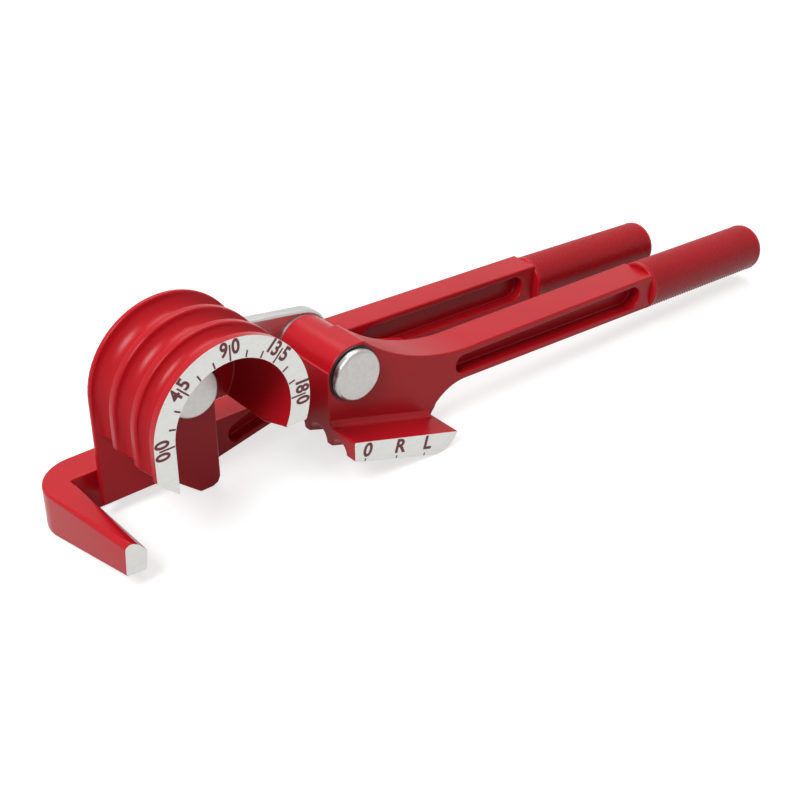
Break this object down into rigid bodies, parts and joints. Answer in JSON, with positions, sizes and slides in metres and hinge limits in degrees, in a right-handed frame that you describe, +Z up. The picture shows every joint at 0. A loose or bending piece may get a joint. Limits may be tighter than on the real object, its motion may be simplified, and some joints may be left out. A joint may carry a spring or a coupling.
{
  "type": "hand tube bender",
  "caption": "Hand tube bender with a grooved forming head and hook on one handle, and a grooved shoe on a second handle that swings round the head on a pivoted link.",
  "frame": {"origin": "middle of the flat underside of the forming handle's beam, below the bend axis", "axes": "+X along the handles away from the hook, +Y to the rear along the bend axis, +Z up"},
  "size_m": [0.2714, 0.0531, 0.062],
  "materials": {
    "red_coat": "gloss",
    "steel": "satin",
    "bronze": "satin",
    "black_steel": "satin"
  },
  "bodies": {
    "forming": {"forming_handle": "red_coat", "rear_grip": "red_coat", "centre_bush": "bronze", "centre_washer": "black_steel", "centre_shim": "steel"},
    "link": {"link": "steel", "centre_pin": "steel", "shoe_pin": "steel"},
    "shoe": {"shoe_handle": "red_coat", "front_grip": "red_coat", "shoe_bush": "bronze", "shoe_washer": "black_steel", "shoe_shim": "steel"}
  },
  "joints": [
    {"name": "link_swing", "type": "hinge", "parent": "forming", "child": "link", "pos_m": [0, -0.0128, 0.038], "axis": [0, -1, 0], "range_deg": [0, 190]},
    {"name": "shoe_swing", "type": "hinge", "parent": "link", "child": "shoe", "pos_m": [0.04624, -0.0208, 0.0308], "axis": [0, 1, 0], "range_deg": [-90, 78]}
  ]
}
